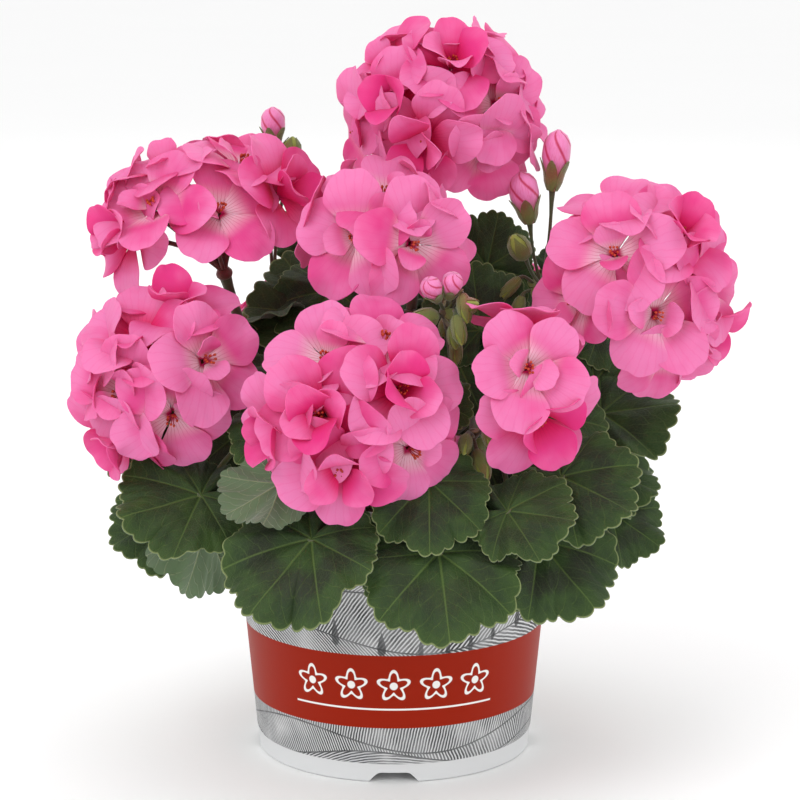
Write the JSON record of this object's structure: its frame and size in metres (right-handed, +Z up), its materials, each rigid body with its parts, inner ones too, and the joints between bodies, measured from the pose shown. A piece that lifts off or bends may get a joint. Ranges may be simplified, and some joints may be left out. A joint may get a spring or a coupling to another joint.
{
  "type": "potted geranium",
  "caption": "Zonal geranium in full bloom: round pink flower heads, closed buds and scalloped leaves on a branching stem, in soil in a thin-walled tapered nursery pot with a flat foot.",
  "frame": {"origin": "centre of the underside of the whole object's box, on the surface that the pot stands on and within a few millimetres of the pot's axis", "axes": "+Z up along the pot's axis, -Y towards the front, where most flower heads face, +X to the right of someone who looks at the front"},
  "size_m": [0.2417, 0.2442, 0.2824],
  "materials": {
    "pot_plastic": "satin",
    "soil": "matte",
    "stem": "matte",
    "flower_stalk": "satin",
    "petals": "matte",
    "buds": "matte",
    "leaf": "matte"
  },
  "bodies": {
    "root": {"bud_cluster_centre": "buds", "bud_cluster_front": "buds", "bud_cluster_left": "buds", "bud_cluster_right": "buds", "flower_head_back_left": "petals", "flower_head_back_right": "petals", "flower_head_front": "petals", "flower_head_lower_left": "petals", "flower_head_middle": "petals", "flower_head_right": "petals", "flower_head_right_front": "petals", "flower_head_top": "petals", "flower_head_upper_left": "petals", "flower_stalk_back_left": "flower_stalk", "flower_stalk_back_right": "flower_stalk", "flower_stalk_front": "flower_stalk", "flower_stalk_lower_left": "flower_stalk", "flower_stalk_middle": "flower_stalk", "flower_stalk_right": "flower_stalk", "flower_stalk_right_front": "flower_stalk", "flower_stalk_top": "flower_stalk", "flower_stalk_upper_left": "flower_stalk", "leaf_back": "leaf", "leaf_back_left": "leaf", "leaf_back_left_low": "leaf", "leaf_back_right": "leaf", "leaf_back_right_low": "leaf", "leaf_back_upper_left": "leaf", "leaf_back_upper_right": "leaf", "leaf_between_heads": "leaf", "leaf_big_dark": "leaf", "leaf_dark_centre": "leaf", "leaf_dark_low": "leaf", "leaf_far_right_low": "leaf", "leaf_far_right_up": "leaf", "leaf_front_centre": "leaf", "leaf_front_left": "leaf", "leaf_front_mid": "leaf", "leaf_grey_under": "leaf", "leaf_left_front": "leaf", "leaf_left_hanging": "leaf", "leaf_left_low": "leaf", "leaf_left_mid": "leaf", "leaf_left_upper": "leaf", "leaf_olive": "leaf", "leaf_right_behind": "leaf", "leaf_right_down": "leaf", "leaf_right_frilly": "leaf", "leaf_right_mid": "leaf", "leaf_right_pale": "leaf", "leaf_right_upper": "leaf", "leaf_small_light": "leaf", "leaf_under_head": "leaf", "leaf_upper_centre": "leaf", "leaf_upper_left": "leaf", "leaf_upper_right": "leaf", "main_stem": "stem", "pot": "pot_plastic", "soil": "soil"}
  },
  "joints": []
}
